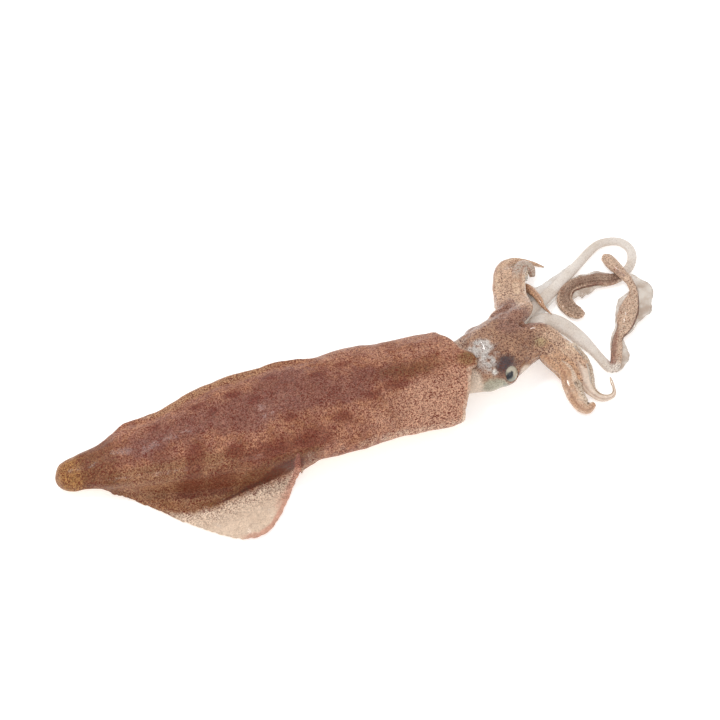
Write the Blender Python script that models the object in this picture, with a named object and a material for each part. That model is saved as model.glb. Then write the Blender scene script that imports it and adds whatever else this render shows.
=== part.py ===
"""A whole raw squid, lying on its belly with its head turned a little to its left.

The pieces are drawn in millimetres in the animal's own frame: X runs from the mantle's closed tip
to its mouth, Y to the animal's left and Z up from the surface that it lies on. An empty then scales
them to metres and puts the origin under the middle of the whole animal.
"""

import math

import bmesh
import bpy
from mathutils import Vector

MM = 0.001
GAP = 0.35                  # clear space round the eyes and the funnel

# Mantle: a long pouch, closed and blunt at the tip, open at the mouth
MANTLE_SIDE_LENGTH = 172.0  # tip to the mouth's side corners
MANTLE_HALF_WIDTHS = (      # pairs of X and half width
    (0, 6.6), (6, 7.3), (13, 8.5), (20, 10.3), (32, 13.2), (47, 16.3), (62, 19.0), (86, 22.0),
    (105, 22.8), (140, 22.2), (172, 21.2),
)
TIP_ROUND = 6.0             # the tip closes over this length
MANTLE_HEIGHT = 25.5
MOUTH_HEIGHT = 20.5         # the flesh sinks towards the mouth
SINK_FROM = 105.0
WAIST_SHARE = 0.42          # height of the widest line, as a share of the height
BELLY_SINK = 1.14           # how far the round underside would reach below the surface
LOBE_LENGTH = 10.5          # the dorsal point over the neck
LOBE_SPREAD = 11.5
NOTCH_DEPTH = 8.0           # the mouth's underside is cut back for the funnel
NOTCH_SPREAD = 12.0
SHIFTED_FROM = 0.78         # share of the length from which the rings lean towards the mouth's edge
WALL = 2.3
POCKET_DEPTH = 15.0
MANTLE_RINGS = 28
MANTLE_SIDES = 32

# Fins: flaps rooted high on the flanks, the right one spread and the left one tucked under
FIN_ROOT_ANGLE = 29.0
FIN_LAST = 119.0
SPREAD_FIRST, TUCKED_FIRST = 13.0, 25.0
TUCKED_FULL_AT = 46.0
FIN_REACH = (               # pairs of X and how far the outer edge lies from the midline
    (13, 1.0), (17, 5.0), (22, 11.5), (35, 22.0), (52, 38.0), (66, 46.8), (76, 48.2), (82, 45.6),
    (90, 37.0), (100, 22.5), (108, 17.0), (115, 10.0), (119, 4.0),
)
FIN_ROOT_THICKNESS = 2.2
FIN_EDGE_THICKNESS = 1.0
FIN_SPREAD_FROM = 3.2       # the spread fin reaches the surface this far out from the flank
FIN_RINGS = 24
FIN_STEPS = 9
FIN_STAND_OFF = 0.9         # from the mantle's skin to the fin's inner face
FLANK_STEPS = 7
SPREAD_LAST_ANGLE = -2.0    # the spread fin follows the flank down to here
TUCKED_LAST_ANGLE = -46.0
TUCK_LIFT = 2.8             # the belly's left half rides on the tucked fin
TUCK_INNER_Y = 7.0

# Head: neck, eye bulge and the crown that the arms grow from
HEAD_STATIONS = (
    # x, y, z, half width, half height
    (160.0, -0.8, 9.9, 9.6, 5.2),
    (167.0, 0.2, 9.9, 10.6, 5.9),
    (174.0, 1.3, 9.8, 11.8, 6.1),
    (181.0, 2.5, 9.6, 13.1, 6.0),
    (188.0, 3.4, 10.5, 13.9, 9.5),
    (194.5, 5.8, 10.5, 14.5, 9.9),
    (200.0, 8.5, 10.5, 14.3, 9.4),
    (205.0, 10.9, 10.5, 13.6, 8.5),
)
CROWN = Vector((206.0, 11.4, 10.5))
CROWN_TURN = 25.0           # the head's turn to the left, in degrees
CROWN_HALF_WIDTH = 11.0
CROWN_HALF_HEIGHT = 6.3
LIMB_START = 2.3            # arms and tentacles leave the crown straight for this far
EYE_MIDDLE = Vector((190.8, 5.0, 0))
EYE_TURN = 17.0
EYE_RADIUS = 6.2
EYE_DEPTH = 5.2
EYES = {
    # side, distance out from the head's middle, height: the head is rolled a little to its left
    "eye_right": (-1, 10.6, 11.0),
    "eye_left": (1, 9.2, 8.6),
}
FUNNEL_STATIONS = (
    # x, y, z, half width, half height
    (160.0, -0.6, 5.2, 7.0, 2.3),
    (168.0, 0.4, 4.9, 6.6, 2.6),
    (176.0, 1.8, 4.1, 5.2, 2.8),
    (183.0, 3.2, 3.4, 3.8, 2.6),
    (187.0, 4.2, 3.0, 3.1, 2.3),
)
FUNNEL_BORE = 0.62          # the mouth of the funnel, as a share of its outside
FUNNEL_BORE_DEPTH = 6.0
FUNNEL_SIDES = 14

# Arms: half width and half height at the root, then the line that each arm's middle follows.
# The root stands on the crown at this angle from the top.
ARM_HALF_WIDTH = 2.9
ARM_HALF_HEIGHT = 2.2
ARM_TIP_SHARE = 0.16
ARM_SIDES = 8
ARM_STEP = 3.0
ARM_ANGLES = {1: 22.5, 2: 67.5, 3: 112.5, 4: 157.5}
ARM_ROUTES = {
    "arm_right_1": (
        (213, 7, 17.5), (217, 4.5, 15.5), (221, 1, 12), (225, -3.5, 9), (227.5, -10, 6.5),
        (227.5, -17.5, 4), (230, -22, 2.4), (234, -24, 1.8), (238, -22, 1.3), (238.5, -14.5, 0.9),
    ),
    "arm_right_2": (
        (214, -1, 11.5), (217.5, -5.5, 8.5), (220.5, -10, 7), (220.5, -18, 5.5), (221.5, -23, 4),
        (224, -26.5, 2.2), (228, -25, 1.6),
    ),
    "arm_right_3": (
        (215, -1.5, 4), (218.5, -6.5, 2.4), (220, -12, 2.2), (220, -17, 1.7), (221, -20.5, 1),
    ),
    "arm_right_4": (
        (214.5, 8, 2.6), (219.5, 3.5, 2.4), (223.5, -2, 2.2), (226.5, -10, 1.6), (225, -18, 0.8),
    ),
    "arm_left_1": (
        (210.5, 21, 13), (211, 29, 9.5), (212.5, 36, 7.5), (215, 42, 6.5), (218, 45, 5),
        (220.5, 43.5, 3.8), (220.5, 40.5, 2.4),
    ),
    "arm_left_2": (
        (204, 26.5, 10.5), (204.5, 33, 8), (206.5, 40, 6.4), (209.5, 46.5, 3.8), (214, 50, 2.2),
        (220, 49, 1.6), (227, 44.5, 0.9),
    ),
    "arm_left_3": (
        (204, 26, 3), (203.5, 31.5, 2.3), (205, 36, 2.2), (209.5, 39, 1.9), (214, 38, 2),
        (217.5, 34, 3.8), (219, 28.5, 6.2), (220, 23, 7), (222.5, 18.5, 6.2),
    ),
    "arm_left_4": (
        (210, 22, 2.8), (211, 29, 2), (212.5, 34.5, 0.9),
    ),
}

# Tentacles: a long flat stalk and a wider club, from inside the ring of arms
TENTACLE_ROOT_OUT = 2.8
TENTACLE_HALF_WIDTH = 2.2
TENTACLE_HALF_HEIGHT = 1.35
TENTACLE_STEP = 2.8
TENTACLE_ROUTES = {
    "tentacle_right": (
        (213, 15, 8.5), (217.5, 17.5, 5.5), (222.5, 17, 3), (227, 13, 2.2), (231, 7, 1.8),
        (235, 0, 1.6), (239, -9.5, 1.4), (241.5, -10.5, 1.4), (243.5, -7, 1.4), (247, 2, 1.8),
        (251, 6, 2.4), (254, 11, 2.8), (257.5, 16.5, 2.8), (260, 21, 3.6), (259.5, 25.5, 5),
        (257.5, 30.5, 5.2), (255, 37, 4), (253.5, 43, 2),
    ),
    "tentacle_left": (
        (211, 20, 7.8), (215, 24, 5.2), (219.5, 27, 3), (228, 32.5, 1.8), (239, 40, 1.4),
        (250, 47.5, 1.4), (256, 49, 1.4), (262, 47.5, 1.4), (265.2, 43.5, 1.4), (265, 38.5, 1.4),
        (262, 34, 1.4), (257, 31, 1.4), (252, 30.5, 1.5), (246.5, 32, 1.8), (237, 32, 2),
        (232.5, 29.5, 2), (230.5, 25.5, 2), (231.5, 21.5, 1.9), (234.5, 18.5, 1.6), (237.5, 18, 1.3),
    ),
}
# Share of the root's size along each tentacle, from the root (0) to the tip (1)
TENTACLE_SIZES = {
    "tentacle_right": (
        (0, 1), (0.1, 1.2), (0.2, 1.6), (0.32, 1.5), (0.4, 1.0), (0.48, 1.05), (0.56, 1.15),
        (0.62, 0.95), (0.68, 1.8), (0.72, 2.0), (0.76, 1.6), (0.81, 0.8), (0.87, 0.95),
        (0.95, 1.3), (1, 1.0),
    ),
    "tentacle_left": (
        (0, 1), (0.1, 1.1), (0.2, 1.3), (0.35, 1.05), (0.48, 0.9), (0.6, 0.92), (0.68, 0.95),
        (0.75, 1.35), (0.86, 1.35), (0.94, 1.6), (1, 1.15),
    ),
}


def smooth(value, low, high):
    """0 below low, 1 above high and a smooth rise between them."""
    t = min(1.0, max(0.0, (value - low) / (high - low)))
    return t * t * (3 - 2 * t)


def along(table, place):
    """The value at place, on a smooth curve through pairs of place and value."""
    last = len(table) - 1
    k = next((i for i in range(last) if place <= table[i + 1][0]), last - 1)
    slopes = []
    for i in (k, k + 1):
        (a, low), (b, high) = table[max(i - 1, 0)], table[min(i + 1, last)]
        slopes.append((high - low) / (b - a))
    (a, low), (b, high) = table[k], table[k + 1]
    span = b - a
    t = min(1.0, max(0.0, (place - a) / span))
    return (low * (1 + 2 * t) * (1 - t) ** 2 + high * (3 - 2 * t) * t**2
            + span * t * (1 - t) * (slopes[0] * (1 - t) - slopes[1] * t))


def half_width_at(x):
    round_end = 1 - min(1.0, max(0.0, x) / TIP_ROUND)
    return along(MANTLE_HALF_WIDTHS, x) * math.sqrt(1 - round_end**2)


def mantle_height(x):
    widest = max(half for _, half in MANTLE_HALF_WIDTHS)
    sunk = (MANTLE_HEIGHT - MOUTH_HEIGHT) * smooth(x, SINK_FROM, MANTLE_SIDE_LENGTH)
    return MANTLE_HEIGHT * min(1.0, half_width_at(x) / widest) ** 0.75 - sunk


def mantle_point(x, degrees, inset=0.0):
    """(y, z) of the mantle's skin at x. The angle is 0 on the left side and 90 on top."""
    half_width = half_width_at(x) - inset
    height = mantle_height(x)
    waist = WAIST_SHARE * height
    c, s = math.cos(math.radians(degrees)), math.sin(math.radians(degrees))
    y = half_width * c
    if s >= 0:
        return y, waist + (height - waist - inset) * s
    floor = 0.7 * inset
    tucked = smooth(y, TUCK_INNER_Y - 4, TUCK_INNER_Y) * smooth(x, TUCKED_FIRST - 8, TUCKED_FIRST)
    tucked *= 1 - smooth(x, FIN_LAST - 11, FIN_LAST + 3)
    return y, max(waist + (BELLY_SINK * waist - inset) * s, floor, TUCK_LIFT * tucked)


def mouth_shift(degrees, y):
    """How far the mouth's edge stands out past the side corners."""
    s = math.sin(math.radians(degrees))
    if s > 0:
        return LOBE_LENGTH * math.exp(-((abs(y) / LOBE_SPREAD) ** 1.1)) * smooth(s, 0.3, 0.8)
    return -NOTCH_DEPTH * math.exp(-((y / NOTCH_SPREAD) ** 4)) * smooth(-s, 0.1, 0.4)


def mantle_ring(share, inset=0.0):
    """One ring of the mantle's skin, share 0 at the tip and 1 at the mouth's edge."""
    ring = []
    for i in range(MANTLE_SIDES):
        degrees = 360 * i / MANTLE_SIDES
        x = share * MANTLE_SIDE_LENGTH
        y, z = mantle_point(x, degrees, inset)
        ring.append(Vector((x + smooth(share, SHIFTED_FROM, 1) * mouth_shift(degrees, y), y, z)))
    return ring


def loft(name, sections):
    """A closed skin through the sections, made by extruding a circle from each one to the next."""
    shell = bmesh.new()
    ring = bmesh.ops.create_circle(shell, segments=len(sections[0]), radius=1)["verts"]
    for vert, point in zip(ring, sections[0]):
        vert.co = point
    first = ring
    for section in sections[1:]:
        edges = [shell.edges.get((a, b)) for a, b in zip(ring, ring[1:] + ring[:1])]
        made = bmesh.ops.extrude_edge_only(shell, edges=edges)["geom"]
        new = {v for v in made if isinstance(v, bmesh.types.BMVert)}
        ring = [next(e.other_vert(v) for e in v.link_edges if e.other_vert(v) in new) for v in ring]
        for vert, point in zip(ring, section):
            vert.co = point
    for end in (first, ring):
        cap = bmesh.ops.contextual_create(shell, geom=end)["faces"]
        bmesh.ops.poke(shell, faces=cap)
    bmesh.ops.recalc_face_normals(shell, faces=shell.faces)
    mesh = bpy.data.meshes.new(name)
    shell.to_mesh(mesh)
    shell.free()
    mesh.shade_smooth()
    return add_object(name, mesh)


def add_object(name, data):
    piece = bpy.data.objects.new(name, data)
    bpy.context.scene.collection.objects.link(piece)
    return piece


def paint(piece, name, colour, roughness):
    """Gives the piece its own material."""
    material = bpy.data.materials.get(name) or bpy.data.materials.new(name)
    material.use_nodes = True
    surface = material.node_tree.nodes["Principled BSDF"]
    surface.inputs["Base Color"].default_value = (*colour, 1)
    surface.inputs["Roughness"].default_value = roughness
    surface.inputs["Metallic"].default_value = 0.0
    piece.data.materials.append(material)


def add_mantle():
    shares = [(i / MANTLE_RINGS) ** 1.25 for i in range(MANTLE_RINGS + 1)]
    shares[0] = 0.0015
    sections = [mantle_ring(share) for share in shares]
    lip = mantle_ring(1.0, 0.5 * WALL)
    sections.append([p + Vector((0.6, 0, 0)) for p in lip])
    floor = MANTLE_SIDE_LENGTH - POCKET_DEPTH
    for i in range(5):
        share = i / 4
        ring = mantle_ring(1.0, WALL + share)
        sections.append([Vector((p.x + (floor - p.x) * share, p.y, p.z)) for p in ring])
    return loft("mantle", sections)


def through(points, step):
    """Even points, about step apart, on a smooth curve through the given ones."""
    padded = [2 * points[0] - points[1], *points, 2 * points[-1] - points[-2]]
    line = []
    for a, b, c, d in zip(padded, padded[1:], padded[2:], padded[3:]):
        for i in range(16):
            t = i / 16
            line.append(0.5 * (2 * b + (c - a) * t + (2 * a - 5 * b + 4 * c - d) * t**2
                               + (3 * b - a - 3 * c + d) * t**3))
    line.append(points[-1])
    run = [0.0]
    for p, q in zip(line, line[1:]):
        run.append(run[-1] + (q - p).length)
    count = max(2, round(run[-1] / step))
    even = []
    k = 0
    for i in range(count + 1):
        want = run[-1] * i / count
        while k < len(run) - 2 and run[k + 1] < want:
            k += 1
        even.append(line[k].lerp(line[k + 1], (want - run[k]) / max(run[k + 1] - run[k], 1e-9)))
    return even


def fin_path(x, tucked):
    """The line that the fin's inner face follows from its root at x, as (y, z) with y outwards."""
    last_angle = TUCKED_LAST_ANGLE if tucked else SPREAD_LAST_ANGLE
    path = []
    for i in range(FLANK_STEPS + 1):
        degrees = FIN_ROOT_ANGLE + (last_angle - FIN_ROOT_ANGLE) * i / FLANK_STEPS
        y, z = mantle_point(x, degrees if tucked else 180 - degrees)
        lean = Vector((math.cos(math.radians(degrees)), math.sin(math.radians(degrees))))
        path.append(Vector((abs(y), z)) + FIN_STAND_OFF * lean)
    side = path[-1].x
    if tucked:
        low = FIN_EDGE_THICKNESS + 0.25
        path = [p for p in path if p.y > low + 0.4]
        foot = path[-1].x - 0.8
        return [*path, Vector((foot, low)), Vector((min(foot - 1, TUCK_INNER_Y + 3), low))]
    foot = FIN_SPREAD_FROM * smooth(x, 0, 40)
    return [*path, Vector((side + 0.45 * foot, 0.3 * path[-1].y)), Vector((side + foot, 0.12)),
            Vector((side + foot + 4, 0)), Vector((side + 60, 0))]


def length_of(path):
    return sum((b - a).length for a, b in zip(path, path[1:]))


def fin_width(x):
    """The fin's width at x, measured along its face from root to edge."""
    spread = fin_path(x, False)
    foot = spread[-2].x
    return max(0.6, length_of(spread[:-1]) + along(FIN_REACH, x) - foot)


def walk(path, distance):
    """The point at this distance along a line, and the way that the line runs there."""
    for a, b in zip(path, path[1:]):
        span = (b - a).length
        if distance <= span or b is path[-1]:
            return a + (b - a) * (distance / span), (b - a).normalized()
        distance -= span


def fin_section(x, tucked):
    """A closed ring round the fin at x: out along the inner face and back along the outer one."""
    path = fin_path(x, tucked)
    width = min(fin_width(x), length_of(path))
    if tucked:
        width *= smooth(x, TUCKED_FIRST - 2, TUCKED_FULL_AT)
    inner, outer = [], []
    for i in range(FIN_STEPS + 1):
        share = i / FIN_STEPS
        point, way = walk(path, width * share)
        away = Vector((-way.y, way.x))
        root = min(FIN_ROOT_THICKNESS, 0.35 + 0.3 * width)
        edge = min(FIN_EDGE_THICKNESS, 0.35 + 0.1 * width)
        thick = root + (edge - root) * smooth(share, 0, 0.6)
        inner.append(point)
        outer.append(point + thick * away)
    side = 1 if tucked else -1
    return [Vector((x, side * p.x, p.y)) for p in [*inner, *reversed(outer)]]


def add_fin(name, tucked):
    first = TUCKED_FIRST if tucked else SPREAD_FIRST
    stations = [first + (FIN_LAST - first) * i / FIN_RINGS for i in range(FIN_RINGS + 1)]
    return loft(name, [fin_section(x, tucked) for x in stations])


def oval(station, way, sides, grow=0.0):
    """A ring across the way, for a station of x, y, z, half width and half height."""
    x, y, z, half_width, half_height = station
    left = Vector((-way.y, way.x, 0)).normalized()
    ring = []
    for i in range(sides):
        angle = math.tau * i / sides
        across = (half_width + grow) * math.cos(angle)
        upward = (half_height + grow) * math.sin(angle)
        ring.append(Vector((x, y, z)) + left * across + Vector((0, 0, upward)))
    return ring


def body_of(name, stations, sides, grow=0.0):
    """A solid of oval sections that follows its stations."""
    centres = [Vector(s[:3]) for s in stations]
    rings = []
    for i, station in enumerate(stations):
        way = centres[min(i + 1, len(centres) - 1)] - centres[max(i - 1, 0)]
        rings.append(oval(station, way, sides, grow))
    return loft(name, rings)


def cut(piece, cutter):
    """Cuts the cutter's shape out of the piece."""
    cutter.hide_render = True
    cutter.display_type = "WIRE"
    difference = piece.modifiers.new(f"cut {cutter.name}", "BOOLEAN")
    difference.operation = "DIFFERENCE"
    difference.object = cutter


def heading(degrees):
    return Vector((math.cos(math.radians(degrees)), math.sin(math.radians(degrees)), 0))


def eyeball(name, place, grow=0.0):
    """An eyeball, flattened towards the head's middle."""
    side, out, height = place
    bpy.ops.mesh.primitive_uv_sphere_add(segments=16, ring_count=9, radius=1)
    ball = bpy.context.object
    ball.name = name
    ball.location = EYE_MIDDLE + side * out * heading(EYE_TURN + 90) + Vector((0, 0, height))
    ball.rotation_euler.z = math.radians(EYE_TURN)
    ball.scale = (EYE_RADIUS + grow, EYE_DEPTH + grow, EYE_RADIUS + grow)
    ball.data.shade_smooth()
    return ball


def add_head():
    head = body_of("head", HEAD_STATIONS, 24)
    for name, place in EYES.items():
        cut(head, eyeball(f"socket_{name}", place, GAP))
    first, last = FUNNEL_STATIONS[0], FUNNEL_STATIONS[-1]
    ends = [(first[0] - 6, *first[1:]), (last[0] + 3, last[1] + 1, *last[2:])]
    groove = [ends[0], *FUNNEL_STATIONS, ends[1]]
    cut(head, body_of("funnel_groove", groove, FUNNEL_SIDES, GAP))
    return head


def add_funnel():
    """A flattened spout under the neck, hollow at its front end."""
    centres = [Vector(s[:3]) for s in FUNNEL_STATIONS]
    rings = []
    for i, station in enumerate(FUNNEL_STATIONS):
        way = centres[min(i + 1, len(centres) - 1)] - centres[max(i - 1, 0)]
        rings.append(oval(station, way, FUNNEL_SIDES))
    x, y, z, half_width, half_height = FUNNEL_STATIONS[-1]
    way = centres[-1] - centres[-2]
    for depth in (0, FUNNEL_BORE_DEPTH):
        middle = Vector((x, y, z)) - way.normalized() * depth
        size = (FUNNEL_BORE * half_width, FUNNEL_BORE * half_height)
        rings.append(oval((*middle, *size), way, FUNNEL_SIDES))
    return loft("funnel", rings)


def oval_guide(name, half_width, half_height, sides):
    """The cross-section that an arm or a tentacle is drawn with."""
    curve = bpy.data.curves.new(name, "CURVE")
    spline = curve.splines.new("POLY")
    spline.points.add(sides - 1)
    for i, point in enumerate(spline.points):
        angle = -math.tau * i / sides
        point.co = (half_width * math.cos(angle), half_height * math.sin(angle), 0, 1)
    spline.use_cyclic_u = True
    guide = add_object(name, curve)
    guide.hide_render = True
    guide.display_type = "WIRE"
    return guide


def limb(name, root, route, step, sizes, guide):
    """A tapered limb that leaves the crown square, then follows its route and never sinks below Z 0."""
    start = [root, root + LIMB_START * heading(CROWN_TURN)]
    line = through([*start, *(Vector(p) for p in route)], step)
    half_height = max(p.co.y for p in guide.data.splines[0].points)
    curve = bpy.data.curves.new(name, "CURVE")
    curve.dimensions = "3D"
    curve.twist_mode = "Z_UP"
    curve.bevel_mode = "OBJECT"
    curve.bevel_object = guide
    curve.use_fill_caps = True
    spline = curve.splines.new("POLY")
    spline.points.add(len(line) - 1)
    for i, (point, place) in enumerate(zip(spline.points, line)):
        point.radius = along(sizes, i / (len(line) - 1))
        point.co = (place.x, place.y, max(place.z, half_height * point.radius + 0.05), 1)
    return add_object(name, curve)


def crown_point(side, out, up):
    """A point on the crown's face, out to the animal's left (side 1) or right (side -1)."""
    return CROWN + side * out * heading(CROWN_TURN + 90) + Vector((0, 0, up))


def add_arms():
    guide = oval_guide("arm_section", ARM_HALF_WIDTH, ARM_HALF_HEIGHT, ARM_SIDES)
    sizes = ((0, 1), (0.3, 0.98), (0.75, 0.55), (1, ARM_TIP_SHARE))
    arms = []
    for name, route in ARM_ROUTES.items():
        angle = math.radians(ARM_ANGLES[int(name[-1])])
        side = 1 if "left" in name else -1
        root = crown_point(side, CROWN_HALF_WIDTH * math.sin(angle), CROWN_HALF_HEIGHT * math.cos(angle))
        arms.append(limb(name, root, route, ARM_STEP, sizes, guide))
    return arms


def add_tentacles():
    guide = oval_guide("tentacle_section", TENTACLE_HALF_WIDTH, TENTACLE_HALF_HEIGHT, ARM_SIDES)
    made = []
    for name, route in TENTACLE_ROUTES.items():
        side = 1 if "left" in name else -1
        root = crown_point(side, TENTACLE_ROOT_OUT, 0)
        made.append(limb(name, root, route, TENTACLE_STEP, TENTACLE_SIZES[name], guide))
    return made


def stand_on_origin(pieces):
    """Parents every piece to one empty, which scales to metres and centres the animal over the origin."""
    animal = add_object("squid", None)
    for piece in bpy.context.scene.objects:
        if piece is not animal:
            piece.parent = animal
    animal.scale = (MM, MM, MM)
    bpy.context.view_layer.update()
    graph = bpy.context.evaluated_depsgraph_get()
    corners = []
    for piece in pieces:
        shown = piece.evaluated_get(graph)
        mesh = shown.to_mesh()
        corners.extend(shown.matrix_world @ v.co for v in mesh.vertices)
        shown.to_mesh_clear()
    low = [min(c[i] for c in corners) for i in range(3)]
    high = [max(c[i] for c in corners) for i in range(3)]
    animal.location = (-(low[0] + high[0]) / 2, -(low[1] + high[1]) / 2, -low[2])
    bpy.context.view_layer.update()


def build():
    for obj in list(bpy.data.objects):
        bpy.data.objects.remove(obj)
    mantle = add_mantle()
    fins = [add_fin("fin_right", False), add_fin("fin_left", True)]
    head = add_head()
    funnel = add_funnel()
    eyes = [eyeball(name, place) for name, place in EYES.items()]
    arms = add_arms()
    tentacles = add_tentacles()
    paint(mantle, "mantle skin", (0.30, 0.15, 0.10), 0.4)
    paint(head, "head skin", (0.36, 0.22, 0.15), 0.4)
    paint(funnel, "funnel flesh", (0.68, 0.58, 0.48), 0.35)
    for fin in fins:
        paint(fin, "fin skin", (0.52, 0.36, 0.26), 0.4)
    for eye in eyes:
        paint(eye, "eyeball", (0.35, 0.34, 0.30), 0.15)
    for arm in arms:
        paint(arm, "arm skin", (0.46, 0.29, 0.19), 0.4)
    for tentacle in tentacles:
        paint(tentacle, "tentacle flesh", (0.70, 0.58, 0.48), 0.35)
    stand_on_origin([mantle, *fins, head, funnel, *eyes, *arms, *tentacles])


build()
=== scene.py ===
"""A whole raw squid in its own skin: body with fins, head, funnel, eyes, arms and tentacles.

The pieces are drawn in millimetres in the animal's own frame: X runs from the mantle's closed tip to
its mouth, Y to the animal's left and Z up. settle() then brings each one to metres in the CAD frame.
"""

import math
import random

import bpy
import numpy as np
from mathutils import Matrix, Vector, noise


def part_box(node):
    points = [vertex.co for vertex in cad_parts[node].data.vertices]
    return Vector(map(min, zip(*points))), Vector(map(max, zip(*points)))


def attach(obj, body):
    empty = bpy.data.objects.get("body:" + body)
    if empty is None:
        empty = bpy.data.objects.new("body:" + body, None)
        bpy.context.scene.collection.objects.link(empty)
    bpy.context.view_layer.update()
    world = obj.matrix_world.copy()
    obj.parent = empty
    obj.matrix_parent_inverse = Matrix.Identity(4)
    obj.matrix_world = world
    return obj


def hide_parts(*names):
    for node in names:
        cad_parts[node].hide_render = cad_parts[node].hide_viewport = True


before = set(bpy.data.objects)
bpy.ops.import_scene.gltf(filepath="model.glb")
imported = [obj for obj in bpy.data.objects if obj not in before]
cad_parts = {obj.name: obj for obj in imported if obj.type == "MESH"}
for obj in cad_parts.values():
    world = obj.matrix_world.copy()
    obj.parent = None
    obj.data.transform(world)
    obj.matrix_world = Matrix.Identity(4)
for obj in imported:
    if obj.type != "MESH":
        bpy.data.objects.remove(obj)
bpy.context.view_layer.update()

MM = 0.001
MANTLE_TIP_X = 0.258        # the mantle solid's lowest X in the animal's frame
mantle_low, mantle_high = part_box("mantle")
ORIGIN = Vector((mantle_low.x / MM - MANTLE_TIP_X, (mantle_low.y + mantle_high.y) / 2 / MM, 0))

# The animal's measures, as its solids have them
MANTLE_HALF_WIDTHS = (
    (0, 6.6), (6, 7.3), (13, 8.5), (20, 10.3), (32, 13.2), (47, 16.3), (62, 19), (86, 22),
    (105, 22.8), (140, 22.2), (172, 21.2),
)
FIN_REACH = (
    (13, 1), (17, 5), (22, 11.5), (35, 22), (52, 38), (66, 46.8), (76, 48.2), (82, 45.6),
    (90, 37), (100, 22.5), (108, 17), (115, 10), (119, 4),
)
MOUTH_X = 172
MANTLE_SIDES = 32
MANTLE_MIDDLE_Z, MANTLE_HALF_HEIGHT = 8.6, 11.9
LOBE_LENGTH, LOBE_SPREAD = 10.5, 11.5       # the lobe of its mouth's upper edge
CROWN = Vector((206, 11.4, 10.5))
CROWN_TURN = 25
CROWN_HALF_WIDTH = 11
CROWN_HALF_HEIGHT = 6.3
LIMB_START = 2.3
EYE_MIDDLE = Vector((190.8, 5, 0))
EYE_TURN = 17
# For each eye: its side, how far out from the head's middle it sits, and its height
EYES = {"eye_right": (-1, 10.6, 11), "eye_left": (1, 9.2, 8.6)}
EYE_RADIUS = 6.2
BULGE = Vector((188.1, -4.4, 10))       # the swollen silver skin behind the right eye
BULGE_RADIUS = 7
BULGE_HALF_HEIGHT = 6.8
PUPIL_AXIS = (0.85, 0.41, 0.33)         # the right eye's pupil is longest this way
PUPIL_HALF_LENGTH = 2.5
PUPIL_HALF_WIDTH = 1.35
IRIS_WAY = (0.72, 0.57, 0.39)           # and its iris is bright on this side of it
# Share of an arm's full width along it: one that tapers evenly, one with a thin end, one with a blunt end
TAPERED = ((0, 0.95), (0.4, 1), (0.62, 0.84), (0.82, 0.5), (1, 0.1))
THIN_END = ((0, 0.95), (0.4, 1), (0.6, 0.92), (0.74, 0.5), (0.87, 0.28), (1, 0.08))
BLUNT_END = ((0, 0.95), (0.4, 1), (0.72, 0.94), (0.9, 0.72), (1, 0.3))
# For each arm: the way its suckers face, in degrees from its left side towards its top, its half width
# and half height, how far out from the crown the head's skin covers it and its suckers start, its widths
ARMS = {
    "arm_right_1": (20, 3.5, 2.5, 37, 22, THIN_END), "arm_right_2": (25, 3.9, 2.5, 24, 25, BLUNT_END),
    "arm_right_3": (-60, 2.8, 2.1, 12, 7, TAPERED), "arm_right_4": (-60, 2.8, 2.1, 10, 7, TAPERED),
    "arm_left_1": (205, 3.6, 2.3, 31, 30, BLUNT_END), "arm_left_2": (205, 3.8, 2.2, 31, 34, THIN_END),
    "arm_left_3": (-90, 2.7, 2, 12, 7, TAPERED), "arm_left_4": (-90, 2.9, 2.2, 10, 7, TAPERED),
}
# Pairs of arms that lie as one band, and how far out from the crown each of the two is joined
BANDS = (("arm_right_1", 37, "arm_right_2", 24), ("arm_left_1", 31, "arm_left_2", 30))
RUSTY_ARM = "arm_right_2"
BODY_VOXEL, HEAD_VOXEL, FUNNEL_VOXEL = 0.7, 0.5, 0.4
FLAP_SPARE = 0.15           # a fin's clay is this much thicker on each face, so that it melts whole
ROOT_BEHIND = 4             # a limb's own mesh starts this far inside the crown
ARM_ANGLES = {1: 22.5, 2: 67.5, 3: 112.5, 4: 157.5}
ARM_ROUTES = {
    "arm_right_1": (
        (213, 7, 17.5), (217, 4.5, 15.5), (221, 1, 12), (225, -3.5, 9), (227.5, -10, 6.5),
        (227.5, -17.5, 4), (230, -22, 2.4), (234, -24, 1.8), (238, -22, 1.3), (238.5, -14.5, 0.9),
    ),
    "arm_right_2": (
        (214, -1, 11.5), (217.5, -5.5, 8.5), (220.5, -10, 7), (220.5, -18, 5.5), (221.5, -23, 4),
        (224, -26.5, 2.2), (228, -25, 1.6),
    ),
    "arm_right_3": (
        (215, -1.5, 4), (218.5, -6.5, 2.4), (220, -12, 2.2), (220, -17, 1.7), (221, -20.5, 1),
    ),
    "arm_right_4": (
        (214.5, 8, 2.6), (219.5, 3.5, 2.4), (223.5, -2, 2.2), (226.5, -10, 1.6), (225, -18, 0.8),
    ),
    "arm_left_1": (
        (210.5, 21, 13), (211, 29, 9.5), (212.5, 36, 7.5), (215, 42, 6.5), (218, 45, 5),
        (220.5, 43.5, 3.8), (220.5, 40.5, 2.4),
    ),
    "arm_left_2": (
        (204, 26.5, 10.5), (204.5, 33, 8), (206.5, 40, 6.4), (209.5, 46.5, 3.8), (214, 50, 2.2),
        (220, 49, 1.6), (227, 44.5, 0.9),
    ),
    "arm_left_3": (
        (204, 26, 3), (203.5, 31.5, 2.3), (205, 36, 2.2), (209.5, 39, 1.9), (214, 38, 2),
        (217.5, 34, 3.8), (219, 28.5, 6.2), (220, 23, 7), (222.5, 18.5, 6.2),
    ),
    "arm_left_4": (
        (210, 22, 2.8), (211, 29, 2), (212.5, 34.5, 0.9),
    ),
}
TENTACLE_ROOT_OUT = 2.8
TENTACLE_HALF_WIDTH = 2.2
TENTACLE_HALF_HEIGHT = 1.35
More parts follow.
